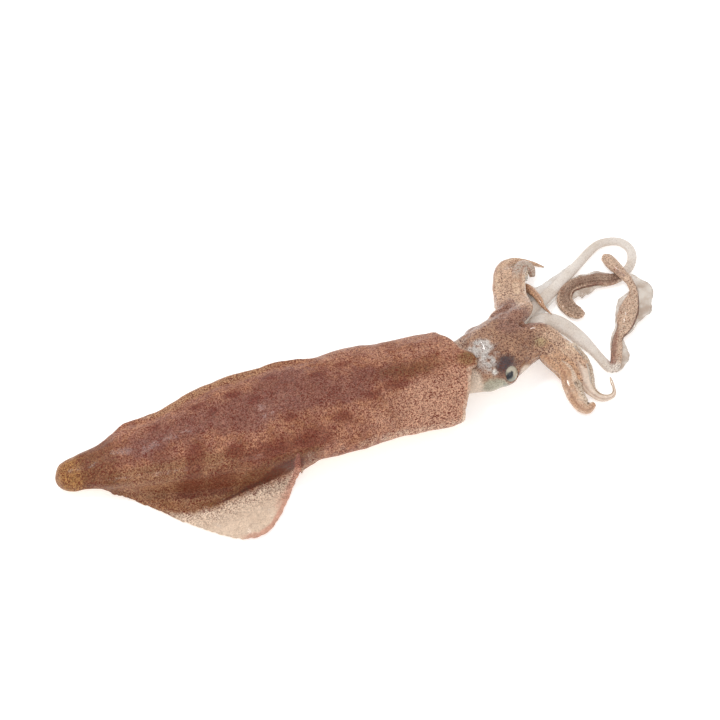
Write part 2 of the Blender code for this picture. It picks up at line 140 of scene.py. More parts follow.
TENTACLE_ROUTES = {
    "tentacle_right": (
        (213, 15, 8.5), (217.5, 17.5, 5.5), (222.5, 17, 3), (227, 13, 2.2), (231, 7, 1.8),
        (235, 0, 1.6), (239, -9.5, 1.4), (241.5, -10.5, 1.4), (243.5, -7, 1.4), (247, 2, 1.8),
        (251, 6, 2.4), (254, 11, 2.8), (257.5, 16.5, 2.8), (260, 21, 3.6), (259.5, 25.5, 5),
        (257.5, 30.5, 5.2), (255, 37, 4), (253.5, 43, 2),
    ),
    "tentacle_left": (
        (211, 20, 7.8), (215, 24, 5.2), (219.5, 27, 3), (228, 32.5, 1.8), (239, 40, 1.4),
        (250, 47.5, 1.4), (256, 49, 1.4), (262, 47.5, 1.4), (265.2, 43.5, 1.4), (265, 38.5, 1.4),
        (262, 34, 1.4), (257, 31, 1.4), (252, 30.5, 1.5), (246.5, 32, 1.8), (237, 32, 2),
        (232.5, 29.5, 2), (230.5, 25.5, 2), (231.5, 21.5, 1.9), (234.5, 18.5, 1.6), (237.5, 18, 1.3),
    ),
}
TENTACLE_SIZES = {
    "tentacle_right": (
        (0, 1), (0.1, 1.2), (0.2, 1.6), (0.32, 1.5), (0.4, 1), (0.48, 1.05), (0.56, 1.15),
        (0.62, 0.95), (0.68, 1.8), (0.72, 2), (0.76, 1.6), (0.81, 0.8), (0.87, 0.95),
        (0.95, 1.3), (1, 1),
    ),
    "tentacle_left": (
        (0, 1), (0.1, 1.1), (0.2, 1.3), (0.35, 1.05), (0.48, 0.9), (0.6, 0.92), (0.68, 0.95),
        (0.75, 1.35), (0.86, 1.35), (0.94, 1.6), (1, 1.15),
    ),
}

# For each tentacle: the way its suckers face, the share at which its club starts, its frills (degrees
# round it, then pairs of share and width), and its marks: from share, to share, degrees, spread, strength
TENTACLES = {
    "tentacle_right": (
        -90, 0.5,
        ((0, ((0.56, 0.2), (0.62, 0.9), (0.7, 0.7), (0.76, 2), (0.79, 1.2), (0.81, 0.1))),
         (180, ((0.49, 0.2), (0.53, 2.8), (0.575, 2), (0.61, 0.5), (0.66, 0.6), (0.7, 1.6), (0.75, 5.4),
                (0.8, 6.2), (0.84, 3), (0.87, 0.1)))),
        ((0.6, 0.84, 160, 13, 1), (0.5, 0.66, 20, 14, 1), (0.46, 0.52, 20, 60, 1),
         (0.52, 0.63, 60, 45, 0.8), (0.67, 0.75, 40, 45, 0.4), (0.86, 0.92, 60, 60, 0.5)),
    ),
    "tentacle_left": (
        90, 0.7,
        ((0, ((0.74, 0.1), (0.78, 1.5), (0.81, 3.4), (0.85, 4.2), (0.88, 2.6), (0.91, 0.6), (0.95, 0.2))),
         (180, ((0.72, 0.2), (0.77, 0.9), (0.83, 0.7), (0.9, 0.4), (0.98, 0.3))),
         (0, ((0.05, 0.2), (0.09, 4.6), (0.14, 7.4), (0.19, 6), (0.25, 2.6), (0.36, 0.2))),
         (180, ((0.05, 0.2), (0.09, 2.8), (0.14, 2.6), (0.2, 1.4), (0.26, 0.2)))),
        ((0.72, 0.86, 160, 16, 0.9), (0.76, 0.87, 20, 16, 0.8), (0.71, 0.8, 90, 90, 0.85),
         (0.8, 0.86, 90, 60, 0.4), (0.86, 0.93, 20, 13, 0.7), (0.86, 0.9, 150, 60, 0.5)),
    ),
}


# ---- numbers and lines ----

def smooth(value, low, high):
    """0 below low, 1 above high and a smooth rise between them."""
    t = np.clip((value - low) / (high - low), 0, 1)
    return t * t * (3 - 2 * t)


def hump(value, middle, reach):
    """1 at the middle, falling softly to 0 on both sides."""
    return np.exp(-((value - middle) / reach) ** 2)


def turned_from(start, degrees):
    """The turn from start to degrees, -180 to 180."""
    return (degrees - start + 180) % 360 - 180


def along(table, place):
    """The value at place on a smooth curve through pairs of place and value."""
    last = len(table) - 1
    k = next((i for i in range(last) if place <= table[i + 1][0]), last - 1)
    slopes = []
    for i in (k, k + 1):
        (a, low), (b, high) = table[max(i - 1, 0)], table[min(i + 1, last)]
        slopes.append((high - low) / (b - a))
    (a, low), (b, high) = table[k], table[k + 1]
    span = b - a
    t = min(1, max(0, (place - a) / span))
    return (low * (1 + 2 * t) * (1 - t) ** 2 + high * (3 - 2 * t) * t**2
            + span * t * (1 - t) * (slopes[0] * (1 - t) - slopes[1] * t))


def through(points, step):
    """Even points, about step apart, on a smooth curve through the given ones."""
    padded = [2 * points[0] - points[1], *points, 2 * points[-1] - points[-2]]
    line = []
    for a, b, c, d in zip(padded, padded[1:], padded[2:], padded[3:]):
        for i in range(16):
            t = i / 16
            line.append(0.5 * (2 * b + (c - a) * t + (2 * a - 5 * b + 4 * c - d) * t**2
                               + (3 * b - a - 3 * c + d) * t**3))
    line.append(points[-1])
    run = [0]
    for p, q in zip(line, line[1:]):
        run.append(run[-1] + (q - p).length)
    count = max(2, round(run[-1] / step))
    even = []
    k = 0
    for i in range(count + 1):
        want = run[-1] * i / count
        while k < len(run) - 2 and run[k + 1] < want:
            k += 1
        even.append(line[k].lerp(line[k + 1], (want - run[k]) / max(run[k + 1] - run[k], 1e-9)))
    return even


def heading(degrees):
    return Vector((math.cos(math.radians(degrees)), math.sin(math.radians(degrees)), 0))


def crown_point(side, out, up):
    return CROWN + side * out * heading(CROWN_TURN + 90) + Vector((0, 0, up))


# ---- hand work on meshes ----

def alone(*pieces):
    """Selects these pieces and nothing else, the first one active."""
    bpy.ops.object.select_all(action="DESELECT")
    for piece in pieces:
        piece.select_set(True)
    bpy.context.view_layer.objects.active = pieces[0]


def points_of(piece, what="co"):
    flat = np.empty(len(piece.data.vertices) * 3, np.float32)
    piece.data.vertices.foreach_get(what, flat)
    return flat.reshape(-1, 3).astype(float)


def normals_of(piece):
    return points_of(piece, "normal")


def set_points(piece, points):
    piece.data.vertices.foreach_set("co", points.astype(np.float32).ravel())
    piece.data.update()


def finish_with(piece, kind, **settings):
    """Adds a modifier and applies it."""
    alone(piece)
    bpy.ops.object.modifier_add(type=kind)
    modifier = piece.modifiers[-1]
    for name, value in settings.items():
        setattr(modifier, name, value)
    bpy.ops.object.modifier_apply(modifier=modifier.name)


def joined(name, pieces):
    alone(*pieces)
    if len(pieces) > 1:
        bpy.ops.object.join()
    piece = bpy.context.view_layer.objects.active
    piece.name = name
    piece.data.name = name
    return piece


def bake_place():
    """Puts the selected pieces' place, turn and scale into their meshes."""
    bpy.ops.object.transform_apply(location=True, rotation=True, scale=True)


def edit_chosen(piece, kind, chosen):
    """Goes into edit mode with only those edges or faces selected for which chosen() holds."""
    bpy.ops.object.mode_set(mode="EDIT")
    bpy.ops.mesh.select_mode(type=kind)
    bpy.ops.mesh.select_all(action="DESELECT")
    bpy.ops.object.mode_set(mode="OBJECT")
    for item in piece.data.edges if kind == "EDGE" else piece.data.polygons:
        item.select = chosen(item)
    bpy.ops.object.mode_set(mode="EDIT")


def clay(node):
    """A copy of a solid as a new piece in the animal's frame, with its doubles merged."""
    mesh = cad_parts[node].data.copy()
    mesh.materials.clear()
    piece = bpy.data.objects.new(f"{node}_clay", mesh)
    bpy.context.scene.collection.objects.link(piece)
    piece.scale = (1 / MM, 1 / MM, 1 / MM)
    piece.location = -ORIGIN
    alone(piece)
    bake_place()
    bpy.ops.object.mode_set(mode="EDIT")
    bpy.ops.mesh.select_all(action="SELECT")
    bpy.ops.mesh.remove_doubles(threshold=0.002)
    bpy.ops.object.mode_set(mode="OBJECT")
    return piece


def fuse(piece, voxel, relax):
    """Melts what a piece is made of into one skin and relaxes it."""
    finish_with(piece, "REMESH", mode="VOXEL", voxel_size=voxel, use_smooth_shade=True)
    finish_with(piece, "SMOOTH", factor=0.5, iterations=relax)


def dress(piece, material, **masks):
    """Gives a piece its material, and the value at every point of each mask that the material reads."""
    piece.data.materials.append(material)
    for name, values in masks.items():
        attribute = piece.data.attributes.new(name, "FLOAT", "POINT")
        attribute.data.foreach_set("value", np.clip(values, 0, 1).astype(np.float32))


def weigh(piece, name, weights):
    """A vertex group with these weights, in tenths."""
    group = piece.vertex_groups.new(name=name)
    tenths = np.round(np.clip(weights, 0, 1) * 10).astype(int)
    for level in range(1, 11):
        group.add(np.flatnonzero(tenths == level).tolist(), level / 10, "REPLACE")


def waves(points, size, seed):
    """Smooth noise at each point, about -1 to 1."""
    shift = Vector((seed, seed, seed))
    return np.array([noise.noise(Vector(p) / size + shift) for p in points])


def crumple(piece, size, depth, seed, weights=1):
    """Soft uneven dents, size across and depth deep."""
    points, normals = points_of(piece), normals_of(piece)
    amount = waves(points, size, seed) * depth * weights
    set_points(piece, points + normals * amount[:, None])


def keep_above(piece, floor=0.02):
    points = points_of(piece)
    points[:, 2] = np.maximum(points[:, 2], floor)
    set_points(piece, points)


def settle(piece, name, slot, *nodes):
    """Brings a finished piece to metres in the CAD frame, where it rides on the squid's one body."""
    alone(piece)
    piece.name = name
    piece.data.name = name
    piece.scale = (MM, MM, MM)
    piece.location = ORIGIN * MM
    bake_place()
    bpy.ops.object.shade_smooth()
    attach(piece, "root")
    if nodes:
        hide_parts(*nodes)


# ---- shaders ----

def srgb(red, green, blue):
    """A colour given as 0 to 255 on the screen, as the shader wants it."""
    parts = [c / 255 for c in (red, green, blue)]
    return (*(c / 12.92 if c <= 0.04045 else ((c + 0.055) / 1.055) ** 2.4 for c in parts), 1)


def feed(tree, target, inputs):
    """Links or sets a node's inputs."""
    for name, value in inputs.items():
        if isinstance(value, bpy.types.NodeSocket):
            tree.links.new(value, target.inputs[name])
        else:
            target.inputs[name].default_value = value


def node(tree, kind, inputs=None, **settings):
    made = tree.nodes.new(kind)
    for name, value in settings.items():
        setattr(made, name, value)
    feed(tree, made, inputs or {})
    return made


def blend(tree, factor, first, second, kind="MIX"):
    inputs = {0: factor, 6: first, 7: second}
    return node(tree, "ShaderNodeMix", inputs, data_type="RGBA", blend_type=kind).outputs[2]


def sums(tree, operation, first, second, clamp=False):
    inputs = {0: first, 1: second}
    return node(tree, "ShaderNodeMath", inputs, operation=operation, use_clamp=clamp).outputs[0]


def scaled(tree, value, factor, added=0):
    """value times factor plus added. Each is a number or a socket."""
    made = node(tree, "ShaderNodeMath", {0: value, 1: factor, 2: added}, operation="MULTIPLY_ADD")
    return made.outputs[0]


def stretched(tree, value, low, high, bottom, top):
    """Brings low to high of the value to bottom to top."""
    limits = {"Value": value, "From Min": low, "From Max": high, "To Min": bottom, "To Max": top}
    return node(tree, "ShaderNodeMapRange", limits).outputs[0]


def ramp(tree, value, low, high):
    """0 below low, 1 above high and smooth between."""
    limits = {"Value": value, "From Min": low, "From Max": high}
    return node(tree, "ShaderNodeMapRange", limits, interpolation_type="SMOOTHSTEP").outputs[0]


def attribute(tree, name):
    return node(tree, "ShaderNodeAttribute", attribute_name=name).outputs["Fac"]


def noise_of(tree, vector, scale, detail=2, rough=0.5):
    inputs = {"Vector": vector, "Scale": scale, "Detail": detail, "Roughness": rough}
    return node(tree, "ShaderNodeTexNoise", inputs).outputs["Fac"]


def new_group(name, inputs, outputs):
    """An empty shader group with named sockets, given by their kinds, and a Vector to start from."""
    tree = bpy.data.node_groups.new(name, "ShaderNodeTree")
    for way, sockets in (("INPUT", {"Vector": ("Vector",), **inputs}), ("OUTPUT", outputs)):
        for kind, labels in sockets.items():
            for label in labels:
                tree.interface.new_socket(label, in_out=way, socket_type=f"NodeSocket{kind}")
    source = tree.nodes.new("NodeGroupInput")
    target = tree.nodes.new("NodeGroupOutput")
    return tree, source.outputs, target


def use(tree, group, inputs):
    return node(tree, "ShaderNodeGroup", inputs, node_tree=group).outputs


def chromatophore_group():
    """Round pigment dots of uneven size, as a mask."""
    tree, given, target = new_group(
        "chromatophores", {"Float": ("Spacing", "Size", "Softness")}, {"Float": ("Dots",)},
    )
    scale = sums(tree, "DIVIDE", 1, given["Spacing"])
    cells = node(tree, "ShaderNodeTexVoronoi", {"Vector": given["Vector"], "Scale": scale})
    own = node(tree, "ShaderNodeSeparateColor", {0: cells.outputs["Color"]}).outputs[0]
    share = scaled(tree, own, 0.6, 0.42)
    radius = scaled(tree, share, given["Size"])
    edge = sums(tree, "SUBTRACT", radius, cells.outputs["Distance"])
    feed(tree, target, {"Dots": ramp(tree, edge, 0, given["Softness"])})
    return tree


def edge_group():
    """Gives a soft mask an uneven, living edge."""
    tree, given, target = new_group("uneven_edge", {"Float": ("Mask", "Size")}, {"Float": ("Mask",)})
    scale = sums(tree, "DIVIDE", 1, given["Size"])
    wave = noise_of(tree, given["Vector"], scale, 4, 0.6)
    moved = scaled(tree, sums(tree, "SUBTRACT", wave, 0.5), 0.9, given["Mask"])
    feed(tree, target, {"Mask": ramp(tree, moved, 0.15, 0.85)})
    return tree


def mottled_group():
    """The uneven ground colour of flesh under its pigment dots."""
    tree, given, target = new_group(
        "mottled_ground", {"Color": ("Light", "Dark", "Cool"), "Float": ("Cool share",)},
        {"Color": ("Colour",)},
    )
    vector = given["Vector"]
    broad = ramp(tree, noise_of(tree, vector, 90, 4, 0.6), 0.32, 0.68)
    patch = ramp(tree, noise_of(tree, vector, 330, 3, 0.6), 0.35, 0.7)
    ground = blend(tree, broad, given["Dark"], given["Light"])
    ground = blend(tree, scaled(tree, patch, given["Cool share"]), ground, given["Cool"])
    feed(tree, target, {"Colour": ground})
    return tree


def speckle_group(dots_group):
    """Fine and coarse pigment dots over a ground colour, with the relief and wetness of raw skin."""
    tree, given, target = new_group(
        "speckled_skin",
        {"Color": ("Ground", "Dot colour"),
         "Float": ("Fine dots", "Coarse dots", "Spacing", "Dot size")},
        {"Color": ("Colour",), "Float": ("Roughness", "Height")},
    )
    vector = given["Vector"]
    crowd = ramp(tree, noise_of(tree, vector, 260, 3, 0.6), 0.25, 0.75)
    fine = use(tree, dots_group, {"Vector": vector, "Spacing": given["Spacing"],
                                  "Size": given["Dot size"], "Softness": 0.2})["Dots"]
    wider = scaled(tree, given["Spacing"], 2.1)
    coarse = use(tree, dots_group, {"Vector": vector, "Spacing": wider, "Size": 0.42,
                                    "Softness": 0.12})["Dots"]
    fine_share = scaled(tree, fine, given["Fine dots"])
    fine_share = sums(tree, "MULTIPLY", fine_share, scaled(tree, crowd, 0.7, 0.65), clamp=True)
    grain = noise_of(tree, vector, 1500, 2, 0.5)
    shade = stretched(tree, grain, 0.3, 0.7, 0.5, 1.56)
    ground = blend(tree, given["Fine dots"], given["Ground"], shade, "MULTIPLY")
    colour = blend(tree, fine_share, ground, given["Dot colour"])
    deep = blend(tree, 1, given["Dot colour"], (0.6, 0.42, 0.4, 1), "MULTIPLY")
    colour = blend(tree, scaled(tree, coarse, given["Coarse dots"]), colour, deep)
    feed(tree, target, {"Colour": colour, "Roughness": stretched(tree, crowd, 0, 1, 0.36, 0.52),
                        "Height": scaled(tree, grain, 0.5, noise_of(tree, vector, 500, 3, 0.55))})
    return tree


DOTS = chromatophore_group()
EDGE = edge_group()
MOTTLE = mottled_group()
SPECKLE = speckle_group(DOTS)


def new_material(name):
    material = bpy.data.materials.new(name)
    material.use_nodes = True
    tree = material.node_tree
    surface = tree.nodes["Principled BSDF"]
    place = node(tree, "ShaderNodeTexCoord").outputs["Object"]
    return material, tree, surface, place


def wet(tree, surface, height, strength, coat):
    """The relief and the gloss of wet flesh."""
    bump = node(tree, "ShaderNodeBump", {"Height": height, "Strength": strength, "Distance": 0.0005})
    feed(tree, surface, {"Normal": bump.outputs[0], "Specular IOR Level": 0.2, "Coat Weight": coat,
                         "Coat Roughness": 0.06})


def ragged(tree, place, name, size):
    """A mask of the mesh with an uneven edge, whose waves are size metres across."""
    return use(tree, EDGE, {"Vector": place, "Mask": attribute(tree, name), "Size": size})["Mask"]


def flesh_material(name, grounds, dots, zones=(), fading=None, coat=0.07):
    """Speckled flesh.

    grounds is the light, dark and cool ground colour and the share of the cool one. dots is the dots'
    colour, the strength of the fine and coarse ones, and the fine ones' spacing and size. A zone is a
    mask's name, the ground colour there, its strength and the size of its uneven edge. The fading mask
    thins the dots out.
    """
    material, tree, surface, place = new_material(name)
    light, dark, cool, share = grounds
    ground = use(tree, MOTTLE, {"Vector": place, "Light": srgb(*light), "Dark": srgb(*dark),
                                "Cool": srgb(*cool), "Cool share": share})["Colour"]
    uneven = stretched(tree, noise_of(tree, place, 700, 3, 0.6), 0.25, 0.75, 0.8, 1.2)
    for mask_name, tint, strength, size in zones:
        zone = scaled(tree, ragged(tree, place, mask_name, size), strength)
        ground = blend(tree, zone, ground, blend(tree, 1, srgb(*tint), uneven, "MULTIPLY"))
    colour, fine, coarse, spacing, size = dots
    if fading:
        kept = sums(tree, "SUBTRACT", 1, scaled(tree, attribute(tree, fading), 0.95))
        fine = scaled(tree, kept, fine)
        coarse = scaled(tree, kept, coarse)
    skin = use(tree, SPECKLE, {"Vector": place, "Ground": ground, "Dot colour": srgb(*colour),
                               "Fine dots": fine, "Coarse dots": coarse, "Spacing": spacing,
                               "Dot size": size})
    feed(tree, surface, {"Base Color": skin["Colour"], "Roughness": skin["Roughness"]})
    wet(tree, surface, skin["Height"], 0.35, coat)
    return material


def web_material(name, dark, light, most, least):
    """Thin frill that lets light through: its two colours, and how much it covers in each."""
    material, tree, surface, place = new_material(name)
    cloud = noise_of(tree, place, 260, 3)
    colour = blend(tree, ramp(tree, cloud, 0.3, 0.7), srgb(*dark), srgb(*light))
    cover = stretched(tree, cloud, 0.3, 0.7, most, least)
    feed(tree, surface, {"Base Color": colour, "Alpha": cover, "Roughness": 0.3})
    wet(tree, surface, cloud, 0.3, 0.3)
    return material


def eye_material():
    material, tree, surface, place = new_material("eyeball")
    ring = noise_of(tree, place, 600, 3)
    white = blend(tree, ring, srgb(112, 112, 98), srgb(160, 156, 138))
    iris = blend(tree, ring, srgb(176, 164, 142), srgb(208, 198, 178))
    colour = blend(tree, attribute(tree, "iris"), white, iris)
    colour = blend(tree, attribute(tree, "pupil"), colour, (0.008, 0.009, 0.014, 1))
    feed(tree, surface, {
        "Base Color": colour, "Roughness": stretched(tree, ring, 0, 1, 0.1, 0.22),
        "Specular IOR Level": 0.2, "Coat Weight": 1, "Coat Roughness": 0.04,
    })
    return material


# ---- body ----

SLOPE_RISE, SLOPE_MIDDLE, SLOPE_REACH = 8.5, 0.5, 22.2
TONGUE_RISE = 2.6
TONGUE_RIGHT, TONGUE_LEFT = (-2.9, -1.5), (2, 7)            # the tongue's sides rise between these Y
FIN_SINK = 1.3
FIN_END_X = 120
BODY_SAG = 0.98
# The far flank's waves: middle X, reach along X and how far out
FAR_FLANK_WAVES = ((33, 7, 1.3), (53, 12, -1.5), (21, 4.5, -0.9))
# Its skin's dents: size, depth and seed
BODY_DENTS = ((24, 1.3, 3), (7, 0.45, 7), (2.4, 0.12, 8))
# How far from the middle the near side turns pale: pairs of X and distance
PALE_FROM = ((20, 30), (30, 27), (36, 27), (47, 30), (61, 29.5), (76, 26), (93, 25), (120, 24))
# Colour patches on the back: X, Y, reach across and reach along X
COOL_PATCHES = (
    (60, 2, 9, 30), (105, 5, 7, 26), (140, 3, 5, 16), (38, -2, 4, 8), (84, -4, 6, 12),
    (110, -3, 5, 12), (128, -4, 4, 9), (44, -12, 4, 8), (102, 13, 4, 10),
)
MAROON_PATCHES = (
    (58, -11, 4.6, 5), (52, -21, 4, 7), (89, -18.5, 4.6, 15), (110, -17.5, 4, 8), (96, 14, 2.2, 3),
    (148, -3, 3, 8), (45, 6, 2, 3), (80, 10, 2.4, 4), (74, -14, 2.5, 4), (66, -22, 3, 6),
    (56, -16, 2.6, 3), (70, 4, 2, 3), (64, 9, 2, 4), (88, 4, 2, 3), (116, 9, 2, 5), (128, 12, 2, 4),
    (100, -8, 2, 3), (122, -12, 2.4, 5), (136, -6, 2, 4), (24, 6, 2, 2.5),
)


def spot(points, x, y, across, along_x):
    """A soft spot at x and y on the upper side."""
    far = ((points[:, 0] - x) / along_x) ** 2 + ((points[:, 1] - y) / across) ** 2
    return np.exp(-far) * (points[:, 2] > 1.5)


def mouth_edge(y):
    """How far the mantle's front edge stands out at y: a long slope to a blunt tongue on the neck."""
    slope = SLOPE_RISE * np.maximum(0, 1 - np.abs(y - SLOPE_MIDDLE) / SLOPE_REACH) ** 0.92
    return slope + TONGUE_RISE * smooth(y, *TONGUE_RIGHT) * (1 - smooth(y, *TONGUE_LEFT))


def solid_edge(y):
    """How far the solid's front edge stands out at y."""
    turns = np.arange(MANTLE_SIDES // 4 + 1) * math.tau / MANTLE_SIDES
    corners = MANTLE_HALF_WIDTHS[-1][1] * np.sin(turns)
    return np.interp(np.abs(y), corners, LOBE_LENGTH * np.exp(-(corners / LOBE_SPREAD) ** 1.1))


def half_width(x):
    return np.interp(x, *zip(*MANTLE_HALF_WIDTHS))


def upper_side(z):
    """0 on the belly and the flanks' lower half, 1 on the back."""
    return smooth((z - MANTLE_MIDDLE_Z) / MANTLE_HALF_HEIGHT, 0.3, 0.8)


def fin_share(x, y):
    """0 on the mantle and 1 at the spread fin's outer edge."""
    reach = np.interp(x, *zip(*FIN_REACH), left=0, right=0)
    side = half_width(x)
    share = np.clip((-y - side + 1) / np.maximum(reach - side, 1), 0, 1) * smooth(x, 18, 30)
    share[reach <= side] = 0
    return share


def fin_clay(fin, side):
    """A fin's solid, sunk a little into the flank so that both melt into one skin."""
    flap = clay(fin)
    points = points_of(flap)
    points[:, 1] -= side * FIN_SINK * smooth(points[:, 2], 1.1, 2.6)
    set_points(flap, points + FLAP_SPARE * normals_of(flap))
    return flap


def shape_mantle(body, x, y, z):
    """Cuts the mouth's upper edge and gives the far flank its waves. x, y and z are the clay's own."""
    points = points_of(body)
    points[:, 0] += (mouth_edge(y) - solid_edge(y)) * upper_side(z) * smooth(x, 140, 173)
    waved = sum(out * hump(x, middle, reach) for middle, reach, out in FAR_FLANK_WAVES)
    points[:, 1] += smooth(y, 0, 8) * (waved + 1.5 * smooth(x, 115, 140))
    set_points(body, points)


def ripple_fin(body, x, fin):
    """Lifts the spread fin off the surface in soft ripples and draws its edge in, a little torn."""
    points = points_of(body)
    flat = points * (1, 1, 0)
    ripple = 0.9 * (waves(flat, 9, 5) + 0.7) + 0.35 * (waves(flat, 3, 5) + 0.7)
    points[:, 2] += np.maximum(0, ripple) * smooth(fin, 0.2, 0.8)
    points[:, 2] *= BODY_SAG
    points[:, 1] += fin**2 * (1 + 1.6 * hump(x, 56, 14))
    points[:, 1] += 0.45 * waves(points * (1, 0, 0), 1.7, 9) * smooth(fin, 0.7, 1)
    set_points(body, points)


def dress_body(body, x, y, z, fin):
    """The body's skin with its masks, at the places of the clay's own points."""
    points = points_of(body)
    across = y / half_width(x)
    under = normals_of(body)[:, 2] < -0.35
    edge = MOUTH_X + mouth_edge(y) * upper_side(z)
    rim = 0.5 * smooth(x, edge - 1.6, edge - 0.2)
    low_flank = smooth(x, 112, 135) * smooth(-across, 0.88, 1) * 0.4
    past = -y - np.interp(x, *zip(*PALE_FROM))
    behind = x < FIN_END_X
    far_flank = smooth(y, 0, 8) * smooth(y, 8, 14)
    near_tip = smooth(x, 7, 13) - smooth(x, 20, 34)
    fin_foot = hump(past, -2.2, 2) * smooth(x, 50, 62) * (1 - smooth(x, 104, 116))
    dress(
        body, BODY_SKIN,
        pale=smooth(past, -4.5, 4.5) * behind + 0.85 * under + rim + low_flank,
        thin=0.85 * smooth(past, -2, 12) * behind + under + rim,
        # A painted shadow: a narrow dark line where the mantle's flank overhangs the fin's root
        fold=hump(past, -1.4, 0.7) * smooth(x, 58, 68) * (1 - smooth(x, 98, 106)),
        flank=smooth(-across, 0.45, 0.85) * smooth(x, 14, 26) * (1 - smooth(x, 62, 92)),
        front=smooth(x, 112, 168) * (1 - 0.8 * hump(y, 3, 8)) * (1 - 0.6 * far_flank),
        cool=0.8 * sum(spot(points, *patch) for patch in COOL_PATCHES),
        tan=smooth(across, 0.62, 0.98) * smooth(x, 30, 50) * (1 - 0.6 * smooth(x, 85, 115)),
        olive=1 - smooth(x, 5, 19),
        tongue=1.2 * spot(points, 180, 1.5, 3.6, 5),
        dark=0.8 * spot(points, 156, 2.5, 5, 19) + 0.75 * near_tip + 0.9 * fin_foot,
        maroon=sum(spot(points, *patch) for patch in MAROON_PATCHES),
        pink=smooth(fin, 0.9, 1.02) * smooth(x, 60, 80) + 0.8 * smooth(fin, 0.3, 0.9) * smooth(x, 80, 92),
    )


def make_body():
    """Mantle and both fins as one living skin."""
    body = joined("body", [clay("mantle"), fin_clay("fin_right", -1), fin_clay("fin_left", 1)])
    fuse(body, BODY_VOXEL, 4)
    x, y, z = points_of(body).T
    fin = fin_share(x, y)
    weigh(body, "thick", 1 - smooth(fin, 0, 0.15))
    finish_with(body, "SMOOTH", factor=0.5, iterations=22, vertex_group="thick")
    shape_mantle(body, x, y, z)
    for size, depth, seed in BODY_DENTS:
        crumple(body, size, depth, seed, 1 - smooth(fin, 0, 0.2))
    ripple_fin(body, x, fin)
    keep_above(body)
    dress_body(body, x, y, z, fin)
    settle(body, "body", "mantle_skin", "mantle", "fin_right", "fin_left")


# ---- limbs: straight templates with all their detail, bent along their lines ----

ARM_BASE_STEPS = 46         # the head's skin reaches no further than this along an arm, in millimetres
LIMB_LIFT = 0.05            # how far above the surface a limb's underside stays
SUCKER_SINK = 0.05          # how far a sucker's middle sits in the skin
ARM_ROW_TURN = 17           # an arm's two rows of suckers are turned this far from its oral side
# A club's four rows: how far each is turned from the oral side, and its suckers' share of the full size
CLUB_ROWS = ((-33, 0.75), (11, 1.15), (-11, 1.15), (33, 0.75))
FADED_ARMS = {"arm_right_1": 0.9, RUSTY_ARM: 0.35}


def line_of(name, routes, root):
    """The line that a limb's middle follows, from inside the crown, with a point each millimetre."""
    out = heading(CROWN_TURN)
    start = [root - ROOT_BEHIND * out, root, root + LIMB_START * out]
    return through([*start, *(Vector(p) for p in routes[name])], 1)


def arm_line(name):
    angle = math.radians(ARM_ANGLES[int(name[-1])])
    side = 1 if "left" in name else -1
    root = crown_point(side, CROWN_HALF_WIDTH * math.sin(angle), CROWN_HALF_HEIGHT * math.cos(angle))
    return line_of(name, ARM_ROUTES, root)


def out_from_crown(points):
    """How far out along the nearest arm each point lies, and how much nearer the rust-coloured arm is."""
    nearest = np.full(len(points), np.inf)
    rusty = np.full(len(points), np.inf)
    out = np.zeros(len(points))
    for name in ARMS:
        for i, middle in enumerate(arm_line(name)[:ARM_BASE_STEPS]):
            far = np.linalg.norm(points - np.array(middle), axis=1)
            if name == RUSTY_ARM:
                rusty = np.minimum(rusty, far)
            closer = far < nearest
            nearest[closer] = far[closer]
            out[closer] = i - ROOT_BEHIND
    return out, 1 - smooth(rusty - nearest, 0, 2.5)


def limb_share(out):
    """0 in the head's colour and 1 in the arms', for a place so far out from the crown."""
    return smooth(out, 0, 14)


def bent_along(piece, line, lowest):
    """Bends a straight template along a line, which stays at least lowest(share) above the surface."""
    curve = bpy.data.curves.new(f"{piece.name}_line", "CURVE")
    curve.dimensions = "3D"
    curve.twist_mode = "Z_UP"
    spline = curve.splines.new("POLY")
    spline.points.add(len(line) - 1)
    for i, (point, place) in enumerate(zip(spline.points, line)):
        point.co = (place.x, place.y, max(place.z, lowest(i / (len(line) - 1))), 1)
    guide = bpy.data.objects.new(curve.name, curve)
    bpy.context.scene.collection.objects.link(guide)
    bpy.context.view_layer.update()
    finish_with(piece, "CURVE", object=guide, deform_axis="POS_X")
    bpy.data.objects.remove(guide)
    keep_above(piece)


def length_of(line):
    return sum((b - a).length for a, b in zip(line, line[1:]))


def straight_tube(name, length, sides, step, skin):
    """A closed tube along X and its points' shares and degrees, all laid on skin(share, degrees)."""
    bpy.ops.object.select_all(action="DESELECT")
    bpy.ops.mesh.primitive_cylinder_add(vertices=sides, radius=1, depth=length, end_fill_type="NGON",
                                        location=(length / 2, 0, 0), rotation=(0, math.pi / 2, 0))
    tube = bpy.context.object
    tube.name = name
    bake_place()
    ends = [v.co.x for v in tube.data.vertices]
    edit_chosen(tube, "EDGE", lambda edge: abs(ends[edge.vertices[0]] - ends[edge.vertices[1]]) > 1)
    bpy.ops.mesh.subdivide(number_cuts=max(1, round(length / step)))
    bpy.ops.object.mode_set(mode="OBJECT")
    x, y, z = points_of(tube).T
    shares, degrees = np.clip(x / length, 0, 1), np.degrees(np.arctan2(z, y))
    set_points(tube, np.array([skin(s, d) for s, d in zip(shares, degrees)]))
    return tube, shares, degrees


def make_sucker():
    """One cup on its base, 1 in radius, with its mouth along Z."""
    bpy.ops.object.select_all(action="DESELECT")
    bpy.ops.mesh.primitive_cylinder_add(vertices=9, radius=1, depth=1, location=(0, 0, 0.3))
    cup = bpy.context.object
    bake_place()
    edit_chosen(cup, "FACE", lambda face: face.normal.z > 0.9)
    for thickness, drop in ((0.28, 0.05), (0.14, 0.4)):
        bpy.ops.mesh.inset(thickness=thickness)
        bpy.ops.transform.translate(value=(0, 0, -drop))
    bpy.ops.object.mode_set(mode="OBJECT")
    cup.name = "sucker"
    return cup


